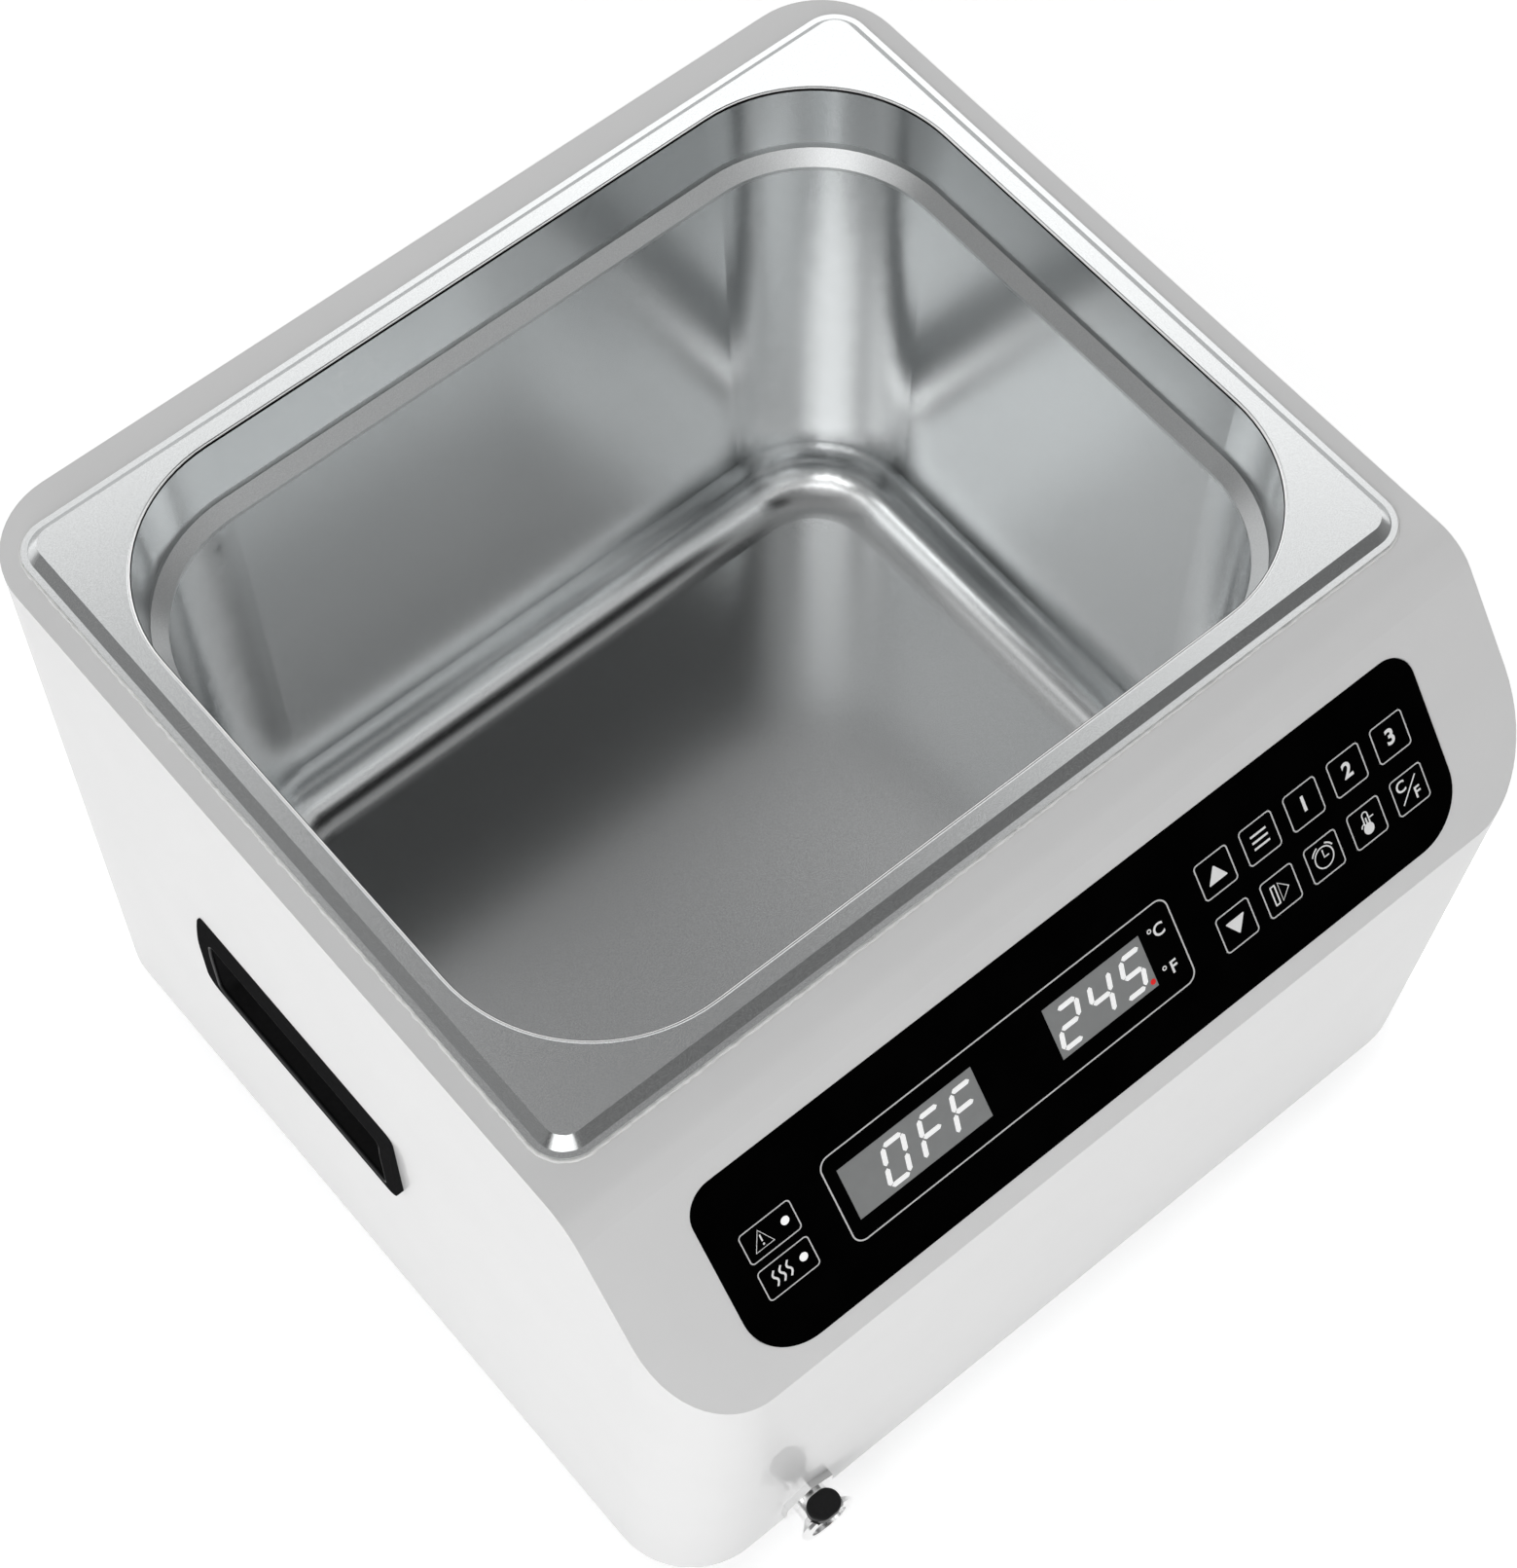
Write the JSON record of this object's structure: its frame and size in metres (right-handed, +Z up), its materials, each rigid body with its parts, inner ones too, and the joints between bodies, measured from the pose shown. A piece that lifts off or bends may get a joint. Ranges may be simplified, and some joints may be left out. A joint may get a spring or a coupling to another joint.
{
  "type": "laboratory water bath",
  "caption": "Bench water bath: steel pan in a white casing with a sloped key panel, hand grips, drain cock and mains inlet.",
  "frame": {"origin": "bench plane under the feet, at the middle of the casing's width and halfway from the front to the rear of the bath", "axes": "+X to the right of a person facing the panel, +Y to the rear, +Z up"},
  "size_m": [0.345, 0.347, 0.265],
  "materials": {
    "white_enamel": "glossy",
    "grey_sheet": "satin",
    "zinc_steel": "satin",
    "rubber": "matte",
    "stainless": "brushed",
    "silicone": "matte",
    "felt": "fibrous",
    "heater_silicone": "matte",
    "aluminium": "satin",
    "polished_steel": "polished",
    "brass": "satin",
    "panel_film": "glossy",
    "window_tint": "satin",
    "display_face": "matte",
    "lamp_lens": "satin",
    "key_cap": "glossy",
    "black_plastic": "satin",
    "circuit_board": "satin",
    "relay_case": "satin",
    "transformer_iron": "satin",
    "terminal_green": "satin",
    "lead_sheath": "satin",
    "ribbon_grey": "satin"
  },
  "bodies": {
    "casing": {"housing_shell": "white_enamel", "base_plate": "grey_sheet", "base_screws": "zinc_steel", "feet": "rubber", "foot_screws": "zinc_steel", "tank": "stainless", "rim_gasket": "silicone", "tank_nuts": "zinc_steel", "tank_insulation": "felt", "heater_pad": "heater_silicone", "heater_clamp_plate": "aluminium", "heater_nuts": "zinc_steel", "heater_insulation": "felt", "thermal_cutout": "black_plastic", "temperature_probe": "polished_steel", "drain_elbow": "polished_steel", "drain_seal": "silicone", "drain_nut": "polished_steel", "drain_hose": "silicone", "hose_clamps": "zinc_steel", "valve_body": "polished_steel", "valve_wall_nut": "polished_steel", "valve_seal": "rubber", "valve_lock_nut": "polished_steel", "handle_left": "black_plastic", "handle_right": "black_plastic", "control_overlay": "panel_film", "display_windows": "window_tint", "display_left": "display_face", "display_right": "display_face", "indicator_leds": "lamp_lens", "key_switches": "black_plastic", "control_board": "circuit_board", "board_screws": "zinc_steel", "power_board": "circuit_board", "power_board_screws": "zinc_steel", "power_relay": "relay_case", "power_transformer": "transformer_iron", "terminal_block": "terminal_green", "power_inlet": "black_plastic", "inlet_screws": "zinc_steel", "power_switch": "black_plastic", "heater_leads": "lead_sheath", "mains_leads": "lead_sheath", "ribbon_cable": "ribbon_grey", "sensor_lead": "lead_sheath"},
    "cock_handle": {"valve_plug": "brass", "valve_knob": "black_plastic"},
    "rocker": {"switch_rocker": "black_plastic"},
    "drawer": {"fuse_drawer": "black_plastic"},
    "key_up_button": {"key_up": "key_cap"},
    "key_menu_button": {"key_menu": "key_cap"},
    "key_one_button": {"key_one": "key_cap"},
    "key_two_button": {"key_two": "key_cap"},
    "key_three_button": {"key_three": "key_cap"},
    "key_down_button": {"key_down": "key_cap"},
    "key_start_button": {"key_start": "key_cap"},
    "key_timer_button": {"key_timer": "key_cap"},
    "key_temperature_button": {"key_temperature": "key_cap"},
    "key_units_button": {"key_units": "key_cap"}
  },
  "joints": [
    {"name": "cock_turn", "type": "hinge", "parent": "casing", "child": "cock_handle", "pos_m": [-0.1183, -0.16826, 0.02733], "axis": [0, -0.0872, 0.9962], "range_deg": [0, 90]},
    {"name": "rocker_tilt", "type": "hinge", "parent": "casing", "child": "rocker", "pos_m": [0.038, 0.16784, 0.034], "axis": [-1, 0, 0], "range_deg": [0, 16]},
    {"name": "drawer_slide", "type": "slide", "parent": "casing", "child": "drawer", "axis": [0, 1, 0], "range_m": [0, 0.014]},
    {"name": "key_up_press", "type": "slide", "parent": "casing", "child": "key_up_button", "axis": [0, 0.8131, -0.5821], "range_m": [0, 0.0004], "stiffness_N_per_m": 1500},
    {"name": "key_menu_press", "type": "slide", "parent": "casing", "child": "key_menu_button", "axis": [0, 0.8131, -0.5821], "range_m": [0, 0.0004], "stiffness_N_per_m": 1500},
    {"name": "key_one_press", "type": "slide", "parent": "casing", "child": "key_one_button", "axis": [0, 0.8131, -0.5821], "range_m": [0, 0.0004], "stiffness_N_per_m": 1500},
    {"name": "key_two_press", "type": "slide", "parent": "casing", "child": "key_two_button", "axis": [0, 0.8131, -0.5821], "range_m": [0, 0.0004], "stiffness_N_per_m": 1500},
    {"name": "key_three_press", "type": "slide", "parent": "casing", "child": "key_three_button", "axis": [0, 0.8131, -0.5821], "range_m": [0, 0.0004], "stiffness_N_per_m": 1500},
    {"name": "key_down_press", "type": "slide", "parent": "casing", "child": "key_down_button", "axis": [0, 0.8131, -0.5821], "range_m": [0, 0.0004], "stiffness_N_per_m": 1500},
    {"name": "key_start_press", "type": "slide", "parent": "casing", "child": "key_start_button", "axis": [0, 0.8131, -0.5821], "range_m": [0, 0.0004], "stiffness_N_per_m": 1500},
    {"name": "key_timer_press", "type": "slide", "parent": "casing", "child": "key_timer_button", "axis": [0, 0.8131, -0.5821], "range_m": [0, 0.0004], "stiffness_N_per_m": 1500},
    {"name": "key_temperature_press", "type": "slide", "parent": "casing", "child": "key_temperature_button", "axis": [0, 0.8131, -0.5821], "range_m": [0, 0.0004], "stiffness_N_per_m": 1500},
    {"name": "key_units_press", "type": "slide", "parent": "casing", "child": "key_units_button", "axis": [0, 0.8131, -0.5821], "range_m": [0, 0.0004], "stiffness_N_per_m": 1500}
  ]
}
